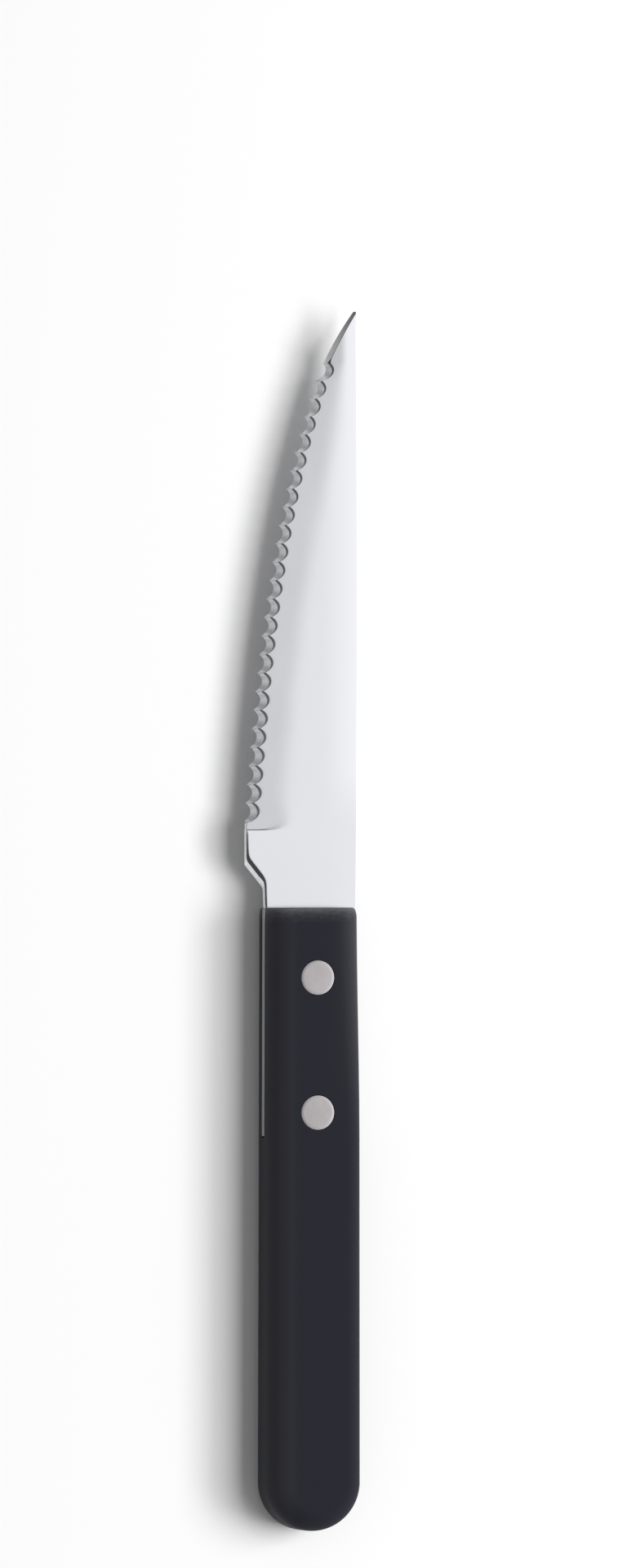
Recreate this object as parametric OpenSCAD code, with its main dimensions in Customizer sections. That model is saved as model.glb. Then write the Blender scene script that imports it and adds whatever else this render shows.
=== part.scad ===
// Steak knife: a scalloped blade with a half tang, riveted into a slotted one-piece handle.
// The knife lies on its side: Z is up, Y runs to the tip, and the cutting edge faces -X.

/* [Handle] */
// Length of the handle from its flat front to the end of the butt
handle_length = 110; // [95:1:130]
// Width of the handle across its flat front
handle_front_width = 16.8; // [15:0.1:20]
// Width of the handle where its round butt begins
handle_butt_width = 17.2; // [15:0.1:22]
// Thickness of the handle
handle_thickness = 11; // [9.5:0.1:14]
// Radius that rounds the long edges and the butt
handle_edge_radius = 3.8; // [2:0.1:4]
// Radius that rounds the rim of the flat front
handle_front_radius = 1; // [0.4:0.1:2]

/* [Blade] */
// Length of the blade from the handle to the tip
blade_length = 105.3; // [90:0.5:130]
// Width of the blade from its heel to a straight line between the ends of its spine
blade_width = 20.4; // [18:0.2:26]
// Thickness of the sheet that the blade is stamped from
blade_thickness = 1.25; // [1:0.05:2]
// Distance from the centre of the handle to both ends of the spine
spine_offset = 8.75; // [8.6:0.05:10]
// Height that the spine bows out between its ends
spine_bow = 0.3; // [0.1:0.05:0.6]
// Height of the heel corner above the handle
heel_height = 7.6; // [6.5:0.1:12]
// Radius of the heel corner
heel_radius = 0.5; // [0.2:0.1:2]
// Height above the handle where the slope of the heel reaches the neck
neck_height = 3.5; // [2.5:0.1:5]
// Radius of the hollow corner between the slope and the neck
neck_radius = 1.6; // [0.8:0.1:4]

/* [Grind] */
// Height above the handle where the ground faces begin
plunge_height = 13.7; // [12:0.1:20]
// Width of the ground faces at the heel
grind_width = 7.2; // [5:0.1:10]
// Depth that each face loses at the edge
grind_depth = 0.2; // [0.1:0.02:0.35]
// Lean of the long ground faces towards the spine, in degrees
grind_lean = 7.5; // [5:0.5:9]
// Width of the short ground faces along the tip
tip_grind_width = 3.4; // [2.5:0.1:5]

/* [Serration] */
// Height above the handle where the scallops begin
scallop_start = 15.4; // [14:0.1:24]
// Distance between two prongs along the edge
scallop_pitch = 3.3; // [2.6:0.1:5]
// Radius of the grinding wheel profile that cuts a scallop
scallop_radius = 2.5; // [2.5:0.1:4]
// Slope of a scallop against the face of the blade, in degrees
scallop_slope = 34; // [28:1:45]
// Lean of all the scallops towards the handle, in degrees
scallop_lean = 8; // [0:1:14]
// Blunting of the prong tips
prong_blunt = 0.1; // [0.06:0.01:0.2]

/* [Tip] */
// Angle between the spine and the plain edge at the tip, in degrees
tip_angle = 30; // [25:1:35]
// Length of the plain edge at the tip
tip_edge_length = 10.4; // [6:0.1:14]
// Width of the bevel along the plain edge
tip_bevel_width = 0.75; // [0.5:0.05:1.2]
// Thickness of the plain edge below its bevel
edge_land = 0.06; // [0.04:0.01:0.15]

/* [Tang] */
// Depth that the tang reaches into the handle
tang_length = 40.3; // [38:0.1:60]
// Gap between each face of the tang and its slot
slot_clearance = 0.05; // [0.02:0.01:0.15]
// Gap between the end of the tang and the end of its slot
slot_end_gap = 0.3; // [0.1:0.1:1]

/* [Rivets] */
// Distance from the flat front of the handle to the front rivet
front_rivet_place = 12.3; // [8:0.1:13]
// Distance from the end of the tang to the rear rivet
rear_rivet_margin = 4.2; // [3.4:0.1:8]
// Diameter of the flush rivet heads
rivet_head_diameter = 6.2; // [5:0.1:8]
// Thickness of the rivet heads
rivet_head_thickness = 1; // [0.6:0.1:1.6]
// Outer diameter of the tubular socket
socket_diameter = 4.2; // [3.8:0.1:4.6]
// Diameter of the solid post
post_diameter = 3; // [2.4:0.1:3.4]
// Gap round each rivet in the handle and the tang
rivet_clearance = 0.05; // [0.02:0.01:0.1]
// Gap between a post and its socket
press_clearance = 0.01; // [0.01:0.005:0.03]
// Room left at the end of each post and each socket
rivet_end_gap = 0.5; // [0.2:0.1:1]

/* [Hidden] */

// Overrun of the cuts past the faces that they open
cut_over = 1;

// Shares of the rise of the edge that grow with the first, second and eighth power of its run
edge_rise_shares = [0.38, 0.44, 0.18];
edge_steps = 120;

steel_colour = "#c8c8cc";
rivet_colour = "#b6b1b3";
handle_colour = "#2c2c33";

// Handle
handle_middle = handle_thickness / 2;
butt_radius = handle_butt_width / 2;
butt_centre_y = butt_radius - handle_length;
grip_run = -butt_centre_y;
flare_angle = atan((handle_butt_width - handle_front_width) / 2 / grip_run);

// Blade
blade_bottom = handle_middle - blade_thickness / 2;
heel_x = spine_offset - blade_width;
spine_arc_radius = (pow(blade_length / 2, 2) + pow(spine_bow, 2)) / (2 * spine_bow);
tip_point = [spine_offset, blade_length];
tip_edge_start = tip_point - tip_edge_length * [sin(tip_angle), cos(tip_angle)];
edge_run = tip_edge_start.y - scallop_start;
edge_rise = tip_edge_start.x - heel_x;
edge_length = edge_arc();
scallop_count = round(edge_length / scallop_pitch);
scallop_step = edge_length / scallop_count;
prongs = prong_points(scallop_start, scallop_count);

// Scallops: the wheels leave the blade along this direction, seen from above
scallop_way = [-cos(scallop_lean), -sin(scallop_lean)];
scallop_across = [-scallop_way.y, scallop_way.x];
scallop_reach = 2 * (scallop_radius / tan(scallop_slope) + blade_thickness / sin(scallop_slope) + cut_over);
scallop_floor = blade_bottom + grind_depth;

rivet_places = [-front_rivet_place, rear_rivet_margin - tang_length];

// The whole knife is centred over the origin and lies on z = 0
frame_shift = [
    -(heel_x + spine_offset + spine_bow) / 2,
    (handle_length - blade_length) / 2,
    0
];

// Half width of the handle at a place along it
function handle_half_width(y) = butt_radius - (y - butt_centre_y) * tan(flare_angle);

// Share of the edge's run at a height
function edge_share(y) = (y - scallop_start) / edge_run;

// Edge of the blade at a height, from the heel to the plain edge of the tip
function edge_x(y) = heel_x + edge_rise * (
    edge_rise_shares[0] * edge_share(y)
    + edge_rise_shares[1] * pow(edge_share(y), 2)
    + edge_rise_shares[2] * pow(edge_share(y), 8)
);

// Slope of the edge at a height
function edge_slope(y) = edge_rise / edge_run * (
    edge_rise_shares[0]
    + 2 * edge_rise_shares[1] * edge_share(y)
    + 8 * edge_rise_shares[2] * pow(edge_share(y), 7)
);

// Length of the edge as the sum of short steps
function edge_arc() = edge_run / edge_steps * sum_of([
    for (i = [0:edge_steps - 1])
        norm([1, edge_slope(scallop_start + edge_run * (i + 0.5) / edge_steps)])
]);

function sum_of(values) = values * [for (value = values) 1];

// Height one scallop further along the edge
function next_prong(y) = y + scallop_step / norm([1, edge_slope(y + scallop_step / 2)]);

// Prong tips from the heel upwards
function prong_points(y, left) = left == 0
    ? [[edge_x(y), y]]
    : concat([[edge_x(y), y]], prong_points(next_prong(y), left - 1));

// Centre of the slanted cylinder whose wall passes through two neighbouring prong tips
function scallop_axis(p, q) =
    let (
        a = [p * scallop_way * sin(scallop_slope), p * scallop_across],
        b = [q * scallop_way * sin(scallop_slope), q * scallop_across],
        chord = b - a,
        rise = sqrt(pow(scallop_radius, 2) - pow(norm(chord) / 2, 2)),
        centre = (a + b) / 2 + [-chord.y, chord.x] / norm(chord) * rise
    )
    scallop_way * centre.x / sin(scallop_slope) + scallop_across * centre.y;

// Points of an arc round a centre
function arc_points(centre, radius, from, to, steps) = [
    for (i = [0:steps])
        let (angle = from + (to - from) * i / steps)
        centre + radius * [cos(angle), sin(angle)]
];

// Cross-section of half of the handle, from its middle to one side
module half_section() {
    intersection() {
        square([butt_radius, handle_thickness]);
        union() {
            square([butt_radius - handle_edge_radius, handle_thickness]);
            translate([0, handle_edge_radius])
                square([butt_radius, handle_thickness - 2 * handle_edge_radius]);
            for (height = [handle_edge_radius, handle_thickness - handle_edge_radius])
                translate([butt_radius - handle_edge_radius, height])
                    circle(r = handle_edge_radius, $fn = 96);
        }
    }
}

// One side of the handle, straight from the butt to the front, with some of the middle past its axis
module grip_side() {
    rotate([0, 0, flare_angle])
        translate([0, grip_run + cut_over, 0])
            rotate([90, 0, 0])
                linear_extrude(height = grip_run + cut_over) {
                    half_section();
                    translate([-butt_radius / 2, 0])
                        square([butt_radius, handle_thickness]);
                }
}

// Grip with a round butt: two sides that spread towards the butt, and a half turn that joins them
module grip() {
    translate([0, butt_centre_y, 0]) {
        grip_side();
        mirror([1, 0, 0])
            grip_side();
        rotate([0, 0, 180 - flare_angle])
            rotate_extrude(angle = 180 + 2 * flare_angle, $fn = 120)
                half_section();
    }
}

// Side view of the handle, with the upper and lower rim of its front rounded
module side_view() {
    rotate([90, 0, 90])
        linear_extrude(height = handle_butt_width + 2 * cut_over, center = true) {
            translate([-handle_length - cut_over, 0])
                square([handle_length + cut_over - handle_front_radius, handle_thickness]);
            translate([-2 * handle_front_radius, handle_front_radius])
                square([2 * handle_front_radius, handle_thickness - 2 * handle_front_radius]);
            for (height = [handle_front_radius, handle_thickness - handle_front_radius])
                translate([-handle_front_radius, height])
                    circle(r = handle_front_radius, $fn = 64);
        }
}

// Slot for the tang, open at the front and at both sides
module tang_slot() {
    translate([
        -butt_radius - cut_over,
        -tang_length - slot_end_gap,
        blade_bottom - slot_clearance
    ])
        cube([
            2 * (butt_radius + cut_over),
            tang_length + slot_end_gap + cut_over,
            blade_thickness + 2 * slot_clearance
        ]);
}

// Stepped hole for one rivet: a bore through the handle and a seat for each head
module rivet_hole() {
    translate([0, 0, -cut_over])
        cylinder(
            h = handle_thickness + 2 * cut_over,
            r = socket_diameter / 2 + rivet_clearance,
            $fn = 64
        );
    for (bottom = [-cut_over, handle_thickness - rivet_head_thickness])
        translate([0, 0, bottom])
            cylinder(
                h = rivet_head_thickness + cut_over,
                r = rivet_head_diameter / 2 + rivet_clearance,
                $fn = 64
            );
}

// Solid post with its flush head on the upper side
module rivet_post() {
    shank_bottom = rivet_head_thickness + rivet_end_gap;
    translate([0, 0, handle_thickness - rivet_head_thickness])
        cylinder(h = rivet_head_thickness, d = rivet_head_diameter, $fn = 64);
    translate([0, 0, shank_bottom])
        cylinder(
            h = handle_thickness - rivet_head_thickness / 2 - shank_bottom,
            d = post_diameter,
            $fn = 64
        );
}

// Tubular socket with its flush head on the lower side
module rivet_socket() {
    difference() {
        union() {
            cylinder(h = rivet_head_thickness, d = rivet_head_diameter, $fn = 64);
            cylinder(
                h = handle_thickness - rivet_head_thickness - rivet_end_gap,
                d = socket_diameter,
                $fn = 64
            );
        }
        translate([0, 0, rivet_head_thickness])
            cylinder(
                h = handle_thickness,
                r = post_diameter / 2 + press_clearance,
                $fn = 64
            );
    }
}

// Flat shape of the blade from the handle to the tip, whose spine is an arc between its ends
module blade_outline() {
    edge_inset = prong_blunt * [1, 0];
    spine_centre = [spine_offset + spine_bow - spine_arc_radius, blade_length / 2];
    spine_turn = asin(blade_length / 2 / spine_arc_radius);
    slope_turn = atan((heel_height - neck_height) / (-handle_half_width(0) - heel_x));
    heel_centre = [heel_x + heel_radius, heel_height + heel_radius * tan(45 - slope_turn / 2)];
    neck_corner = [-handle_half_width(0), neck_height];
    neck_centre = neck_corner + [-neck_radius, -neck_radius * tan(45 - slope_turn / 2)];
    polygon(concat(
        arc_points(spine_centre, spine_arc_radius, -spine_turn, spine_turn, 24),
        [tip_edge_start + edge_inset],
        [for (i = [scallop_count - 1:-1:1]) prongs[i] + edge_inset],
        [[heel_x, scallop_start]],
        arc_points(heel_centre, heel_radius, 180, 270 - slope_turn, 8),
        arc_points(neck_centre, neck_radius, 90 - slope_turn, 0, 8),
        [[-handle_half_width(0), 0]]
    ));
}

// Flat shape of the tang, flush with both sides of the handle
module tang_outline() {
    polygon([
        [-handle_half_width(0), 0],
        [-handle_half_width(-tang_length), -tang_length],
        [handle_half_width(-tang_length), -tang_length],
        [handle_half_width(0), 0]
    ]);
}

// One pass of the grinding belt over the upper face: it starts level with the face at a line
// and goes deeper towards the edge
module grind_pass(start, lean, width, run) {
    belt_radius = (pow(width, 2) + pow(grind_depth, 2)) / (2 * grind_depth);
    translate([start.x, start.y, blade_bottom + blade_thickness])
        rotate([90, 0, 180 - lean])
            linear_extrude(height = run)
                difference() {
                    translate([0, -belt_radius / 4])
                        square([2 * width, belt_radius / 4 + cut_over]);
                    translate([0, -belt_radius])
                        circle(r = belt_radius, $fn = 720);
                }
}

// Ground faces of the upper side: a long pass beside the scallops and a short one along the tip
module ground_side() {
    tip_inward = [cos(tip_angle), -sin(tip_angle)];
    tip_along = [sin(tip_angle), cos(tip_angle)];
    intersection() {
        union() {
            grind_pass(
                [heel_x + grind_width, plunge_height - grind_width],
                grind_lean,
                grind_width,
                blade_length + grind_width
            );
            grind_pass(
                tip_edge_start + tip_grind_width * tip_inward - 2 * tip_edge_length * tip_along,
                tip_angle,
                tip_grind_width,
                4 * tip_edge_length
            );
        }
        translate([heel_x - cut_over, plunge_height, handle_middle])
            cube([blade_width + 2 * cut_over, blade_length, handle_thickness]);
    }
}

// Slanted cylinders that cut the scallops from the upper side
module scallops() {
    for (i = [0:scallop_count - 1]) {
        axis = scallop_axis(prongs[i], prongs[i + 1]);
        translate([axis.x, axis.y, scallop_floor])
            rotate([0, 90 + scallop_slope, 180 + scallop_lean])
                cylinder(h = scallop_reach, r = scallop_radius, center = true, $fn = 96);
    }
}

// Bevel on the upper side of the plain edge at the tip
module tip_bevel() {
    bevel_height = blade_thickness - 2 * grind_depth - edge_land;
    overshoot = (bevel_height + cut_over) / bevel_height;
    translate([tip_point.x, tip_point.y, scallop_floor + edge_land])
        rotate([0, 0, -tip_angle])
            translate([0, cut_over, 0])
                rotate([90, 0, 0])
                    linear_extrude(height = tip_edge_length + cut_over)
                        polygon([
                            [-cut_over, 0],
                            [0, 0],
                            overshoot * [tip_bevel_width, bevel_height],
                            [-cut_over, overshoot * bevel_height]
                        ]);
}

module blade() {
    color(steel_colour)
        translate(frame_shift)
            difference() {
                translate([0, 0, blade_bottom])
                    linear_extrude(height = blade_thickness) {
                        blade_outline();
                        tang_outline();
                    }
                ground_side();
                translate([0, 0, 2 * handle_middle])
                    mirror([0, 0, 1])
                        ground_side();
                scallops();
                tip_bevel();
                for (place = rivet_places)
                    translate([0, place, 0])
                        cylinder(
                            h = handle_thickness,
                            r = socket_diameter / 2 + rivet_clearance,
                            $fn = 64
                        );
            }
}

module handle() {
    color(handle_colour)
        translate(frame_shift)
            difference() {
                intersection() {
                    grip();
                    side_view();
                }
                tang_slot();
                for (place = rivet_places)
                    translate([0, place, 0])
                        rivet_hole();
            }
}

module front_rivet_post() {
    color(rivet_colour)
        translate(frame_shift + [0, rivet_places[0], 0])
            rivet_post();
}

module front_rivet_socket() {
    color(rivet_colour)
        translate(frame_shift + [0, rivet_places[0], 0])
            rivet_socket();
}

module rear_rivet_post() {
    color(rivet_colour)
        translate(frame_shift + [0, rivet_places[1], 0])
            rivet_post();
}

module rear_rivet_socket() {
    color(rivet_colour)
        translate(frame_shift + [0, rivet_places[1], 0])
            rivet_socket();
}

blade();
handle();
front_rivet_post();
front_rivet_socket();
rear_rivet_post();
rear_rivet_socket();
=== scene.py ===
# Steak knife: a scalloped blade riveted into a black handle, on a white ground under soft light.
import math

import bmesh
import bpy
import numpy as np
from bpy.props import FloatProperty, FloatVectorProperty, IntProperty, PointerProperty
from mathutils import Matrix, Vector


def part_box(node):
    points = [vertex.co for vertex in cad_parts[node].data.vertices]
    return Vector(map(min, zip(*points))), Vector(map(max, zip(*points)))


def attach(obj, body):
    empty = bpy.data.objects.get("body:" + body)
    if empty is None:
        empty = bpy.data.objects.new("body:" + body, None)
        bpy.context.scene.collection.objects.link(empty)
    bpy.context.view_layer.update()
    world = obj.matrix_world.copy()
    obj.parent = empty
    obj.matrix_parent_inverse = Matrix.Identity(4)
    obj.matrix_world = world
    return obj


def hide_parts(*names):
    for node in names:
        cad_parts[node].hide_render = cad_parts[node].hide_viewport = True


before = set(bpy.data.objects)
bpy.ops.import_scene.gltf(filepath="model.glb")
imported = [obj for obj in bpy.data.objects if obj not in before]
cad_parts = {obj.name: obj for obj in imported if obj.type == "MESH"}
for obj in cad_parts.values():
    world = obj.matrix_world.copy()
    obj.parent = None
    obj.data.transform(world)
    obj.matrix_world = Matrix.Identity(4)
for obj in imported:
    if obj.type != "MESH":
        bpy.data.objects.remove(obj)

bl_info = {
    "name": "Steak Knife",
    "version": (1, 0, 0),
    "blender": (4, 5, 0),
    "location": "View3D > Sidebar > Steak Knife",
    "description": "Builds a riveted steak knife with a scalloped blade",
    "category": "Add Mesh",
}

MM = 0.001

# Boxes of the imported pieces, which give the places and the reach of what is built here
BLADE_LOW, BLADE_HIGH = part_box("blade")
HANDLE_LOW, HANDLE_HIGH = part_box("handle")
HEAD_LOW, HEAD_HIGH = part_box("front_rivet_post")

# The knife's shapes are worked out from the middle of the handle's flat front
FRONT_MIDDLE = Vector((
    (HANDLE_LOW.x + HANDLE_HIGH.x) / 2,
    HANDLE_HIGH.y,
    (HANDLE_LOW.z + HANDLE_HIGH.z) / 2,
))
BLADE_HALF = (BLADE_HIGH.z - BLADE_LOW.z) / 2
HANDLE_HALF = (HANDLE_HIGH.z - HANDLE_LOW.z) / 2
HEAD_RADIUS = (HEAD_HIGH.x - HEAD_LOW.x) / 2
SPINE_TOP_X = BLADE_HIGH.x - FRONT_MIDDLE.x
HEEL_X = BLADE_LOW.x - FRONT_MIDDLE.x
TIP_Y = BLADE_HIGH.y - FRONT_MIDDLE.y
TANG_Y = BLADE_LOW.y - FRONT_MIDDLE.y
BUTT_Y = HANDLE_LOW.y - FRONT_MIDDLE.y

# Line of the prongs: shares of its rise that grow with these powers of its run
EDGE_POWERS = (1, 2, 3)
EDGE_SHARES = (0.48, 0.085, 0.435)

# Reach of a scallop's rows across its face, as shares of its main slope and of its shallow rim
MAIN_SHARES = (0, 0.25, 0.5, 0.75, 0.94)
RIM_SHARES = (0.08, 0.3, 0.55, 0.8, 1)

# Numbers of the blade's materials
POLISHED, GROUND, CUT, STONED = range(4)

# Distance under which points of a mesh merge, and angle from which its edges are hard
MERGE_DISTANCE = 0.0005 * MM
CREASE_ANGLE = math.radians(33)

# Reach of the cutters beyond what they cut, and segments of the turned rivets and of plain holes
CUT_OVER = 2 * MM
RIVET_SEGMENTS = 96
HOLE_SEGMENTS = 64

# Lighter handle plastic: wear at its front, a painted highlight on the spine side that fades along
# the grip, and painted light on the belly side: the two distances from the front's middle in
# millimetres between which each grows, and its most
FRONT_WEAR = (-2.6, 0, 1.0)
SPINE_PAINTED_HIGHLIGHT = (-2, 8.6, 1.0)
HIGHLIGHT_FADE_ALONG_GRIP = (-40, -4, 0.36)
BELLY_PAINTED_LIGHT = (-3.5, -7.5, 0.145)


def number(name, default, description, **kind):
    """Property with a name, a description, a default and where one fits a unit or subtype."""
    return FloatProperty(name=name, description=description, default=default, **kind)


def length(name, millimetres, description):
    """Property for a length, whose default is written in millimetres."""
    return number(name, millimetres * MM, description, unit='LENGTH')


def angle(name, degrees, description):
    """Property for an angle, whose default is written in degrees."""
    return number(name, math.radians(degrees), description, subtype='ANGLE')


def tint(name, default, description):
    """Property for a colour."""
    return FloatVectorProperty(
        name=name, description=description, default=default, subtype='COLOR', min=0, max=1)


class BladeSizes(bpy.types.PropertyGroup):
    """Sizes of the blade, measured from the handle's flat front."""

    neck_x: length("Neck", 8.15, "Distance from the handle's middle to the neck")
    neck_flare: length("Neck flare", 0.12, "Distance that the neck spreads up to the slope")
    neck_height: length("Neck height", 3.5, "Height where the neck meets the slope of the heel")
    neck_radius: length("Neck radius", 1.6, "Radius of the hollow corner above the neck")
    heel_height: length("Heel height", 7.6, "Height of the heel corner")
    heel_radius: length("Heel radius", 0.45, "Radius of the heel corner")
    strip_slope: length("Slope strip", 0.46, "Width of the light wall on the slope of the heel")
    band_neck: length("Neck band", 0.3, "Width of the rolled edge along the neck")
    band_slope: length("Slope band", 0.74, "Width of the rolled edge along the slope")
    band_heel: length("Heel band", 0.36, "Width of the rolled edge at the heel corner")
    band_top: length("Top of the band", 0.2, "Width of the rolled edge just below the plunge")
    band_taper: length("Band taper", 0.6, "Length over which the rolled edge ends in a point")
    band_tilt: angle("Band tilt", 23, "Tilt of the rolled edge against the blade")
    plunge_height: length("Plunge height", 13.65, "Height where the ground faces begin at the edge")
    plunge_climb: length("Plunge climb", 3.2, "Climb of the plunge line towards the spine")
    plunge_run: length("Plunge run", 0.2, "Length of the step at the edge, where the belt ran out")
    grind_width: length("Grind width", 8.8, "Width of the ground faces beside the scallops")
    grind_limit: length("Grind limit", 7.3, "Furthest reach of the ground faces from the handle's middle")
    grind_depth: length("Grind depth", 0.2, "Depth that each ground face loses at the edge")
    spine_bow: length("Spine bow", 0.3, "Height that the spine bows out between its ends")
    spine_run: length("Spine run", 6.5, "Width over which the polished faces fall to the spine")
    spine_fall: length("Spine fall", 0.08, "Fall of the polished faces at the spine")
    spine_radius: length("Spine radius", 0.14, "Radius that breaks the edges of the spine")
    scallop_start: length("Scallop start", 15.4, "Height where the scallops begin")
    low_prong_inset: length("Low prong inset", 0.04, "Distance of the lowest prong inside the heel's line")
    low_prong_height: length("Low prong height", 18.5, "Height of the lowest prong")
    high_prong_left: length("High prong reach", 1.62, "Reach of the highest prong beyond the plain edge")
    high_prong_below: length("High prong drop", 3.1, "Height of the plain edge above the highest prong")
    scallop_count: IntProperty(
        name="Scallops", description="Number of scallops along the edge", default=25, min=5, max=40)
    scallop_radius: length("Scallop radius", 2.25, "Radius of the wheel profile that ground the scallops")
    scallop_slope: angle("Scallop slope", 37, "Mean slope of a scallop against the blade")
    scallop_lean: angle("Scallop lean", 2, "Lean of the scallops towards the handle")
    rim_share: number(
        "Scallop rim", 0.42, "Rise of a scallop's shallow rim against its mean slope", subtype='FACTOR')
    hollow_share: number(
        "Scallop hollow", 0.14, "How much steeper a scallop is at its edge than its mean slope",
        subtype='FACTOR')
    edge_land: length("Edge land", 0.05, "Thickness left at the cutting edge")
    tip_length: length("Tip edge", 10.75, "Length of the plain edge at the tip")
    tip_angle: angle("Tip angle", 31.3, "Angle between the plain edge and the spine")
    tip_bow: length("Tip bow", 0.24, "Height that the plain edge bows out between its ends")
    tip_radius: length("Tip radius", 0.12, "Radius that blunts the point")
    bevel_width: length("Bevel width", 0.64, "Width of the bevel where the plain edge begins")
    bevel_end: length("Bevel end", 0.3, "Width of the bevel at the point")
    bevel_rim: length("Bevel rim", 0.08, "Width of the fine polished rim along the bevel")


class HandleSizes(bpy.types.PropertyGroup):
    """Sizes of the handle, whose belly lies on the side of the cutting edge."""

    belly_front: length("Belly at the front", 8.31, "Reach of the belly side at the flat front")
    back_front: length("Back at the front", 8.53, "Reach of the spine side at the flat front")
    butt_radius: length("Butt radius", 8.6, "Radius of the round butt, seen from above")
    edge_radius: length("Edge radius", 3.8, "Radius that rounds the belly side's long edges")
    rear_radius: length("Rear radius", 3, "Radius that rounds the spine side towards the butt")
    back_radius: length("Back radius", 4.8, "Radius that rounds the spine side near the front")
    back_run: length("Back run", 41, "Length over which the spine side's radius fades")
    rim_radius: length("Rim radius", 0.35, "Radius of the fine rim round the flat front")
    sag_depth: length("Sag depth", 0.14, "Depth that buffing wore off beside the front rim")
    sag_run: length("Sag run", 2.8, "Length of the buffed stretch beside the front rim")
    corner_depth: length("Corner depth", 0.4, "Depth that wear took off the front corner of the spine side")
    corner_run: length("Corner run", 1.7, "Length of the worn front corner")
    slot_clearance: length("Slot clearance", 0.05, "Gap between the tang and the faces of its slot")
    slot_gap: length("Slot gap", 0.3, "Gap between the end of the tang and the slot")


class RivetSizes(bpy.types.PropertyGroup):
    """Sizes of the two compression rivets."""

    head_thickness: length("Head thickness", 1, "Thickness of the flush heads")
    dome: length("Dome", 0.02, "Height of the slight dome of a head")
    rim_width: length("Rim width", 0.14, "Width of the bright broken rim of a head")
    post_radius: length("Post radius", 1.5, "Radius of the solid post")
    post_taper: length("Post taper", 0.2, "Length of the broken end of a post")
    socket_radius: length("Socket radius", 2.1, "Outer radius of the tubular socket")
    socket_taper: length("Socket taper", 0.15, "Length of the broken end of a socket")
    clearance: length("Clearance", 0.05, "Gap round a rivet in the handle and the tang")
    press_clearance: length("Press clearance", 0.01, "Gap between a post and its socket")
    end_gap: length("End gap", 0.5, "Room left at the end of each post and each socket")


class FinishColours(bpy.types.PropertyGroup):
    """Colours of the finishes."""

    blade_steel: tint("Blade steel", (0.60, 0.61, 0.635), "Colour that the polished steel reflects")
    ground_steel: tint("Ground steel", (0.55, 0.56, 0.575), "Colour that the ground scallops reflect")
    # Lighter than the blade's steel, so that it paints in a brighter reflection on the heel's wall
    cut_steel_painted_bright: tint("Cut steel", (0.88, 0.885, 0.89), "Colour that the stamped wall of the heel reflects")
    tip_steel: tint("Tip steel", (0.6, 0.6, 0.607), "Colour that the matt bevel at the tip reflects")
    handle_plastic: tint("Handle plastic", (0.0195, 0.0195, 0.027), "Colour of the black plastic")
    # Also the colour of the painted highlight on the spine side and of the painted light on the belly side
    buffed_and_lit_plastic: tint("Buffed plastic", (0.115, 0.117, 0.12), "Colour of the plastic's buffed front")
    rivet_steel: tint("Rivet steel", (0.40, 0.375, 0.385), "Colour that the brushed rivets reflect")
    floor: tint("Floor", (0.955, 0.955, 0.955), "Colour of the ground under the knife")


class StageSizes(bpy.types.PropertyGroup):
    """Camera, lamps, light from all sides and floor."""

    roll: angle("Roll", 18, "Roll of the camera from overhead towards the cutting edge")
    view_x: length("View X", 0.98, "Middle of the picture across the knife")
    view_y: length("View Y", 21.83, "Middle of the picture along the knife")
    view_height: length("View height", 276.9, "Length along the knife that fills the picture")
    lens: number("Lens", 400, "Focal length of the camera", subtype='DISTANCE_CAMERA')
    floor_size: length("Floor size", 8000, "Side of the floor")
    lamp_length: length("Lamp length", 1350, "Length of the soft lamps along the knife")
    lamp_distance: length("Lamp distance", 2000, "Distance of the soft lamps")
    low_lamp_width: length("Low lamp width", 560, "Width of the lower lamp")
    low_lamp_elevation: angle("Low lamp elevation", 42, "Height of the lower lamp above the horizon")
    low_lamp_power: number("Low lamp power", 22.4, "Power of the lower lamp", unit='POWER')
    high_lamp_width: length("High lamp width", 1000, "Width of the upper lamp")
    high_lamp_elevation: angle("High lamp elevation", 64, "Height of the upper lamp above the horizon")
    high_lamp_power: number("High lamp power", 20.7, "Power of the upper lamp", unit='POWER')
    fill: number("Fill", 0.28, "Strength of the even light from all sides")
    tent: number("Tent", 2.0, "Strength of the white tent that metal and plastic reflect")


def smooth_step(value):
    """Share that eases from 0 to 1 as the value goes from 0 to 1."""
    held = np.clip(value, 0, 1)
    return held * held * (3 - 2 * held)


def soft_least(first, second, blend):
    """The smaller of two lengths, with a rounded change over from one to the other."""
    gap = np.clip(0.5 + (second - first) / (2 * blend), 0, 1)
    return second + (first - second) * gap - blend * gap * (1 - gap)


def filleted_path(corners, radii, line_steps, arc_steps):
    """Points along straight lines joined by arcs, as many for every set of corners."""
    points = []
    start = corners[0]
    for index in range(1, len(corners)):
        way_in = (corners[index] - corners[index - 1]).normalized()
        is_last = index == len(corners) - 1
        way_out = way_in if is_last else (corners[index + 1] - corners[index]).normalized()
        turn = 0.0 if is_last else way_in.angle_signed(way_out)
        cut = 0.0 if is_last else radii[index] * math.tan(abs(turn) / 2)
        end = corners[index] - way_in * cut
        points += [start.lerp(end, step / line_steps[index - 1]) for step in range(line_steps[index - 1])]
        if is_last:
            points.append(end)
            break
        side = -1 if turn > 0 else 1
        centre = end + side * Vector((-way_in.y, way_in.x)) * radii[index]
        for step in range(arc_steps):
            swing = Matrix.Rotation(-turn * step / arc_steps, 2)
            points.append(centre + swing @ (end - centre))
        start = corners[index] + way_out * cut
    return points


def moved_corners(corners, widths):
    """Corners of a path whose lines are each moved to the right-hand side by a width."""
    lines = []
    for start, end, width in zip(corners, corners[1:], widths):
        way = (end - start).normalized()
        lines.append((start + Vector((way.y, -way.x)) * width, way))
    moved = [lines[0][0]]
    for (spot, way), (next_spot, next_way) in zip(lines, lines[1:]):
        gap = next_spot - spot
        across = way.x * next_way.y - way.y * next_way.x
        moved.append(spot + way * ((gap.x * next_way.y - gap.y * next_way.x) / across))
    return moved


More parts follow.
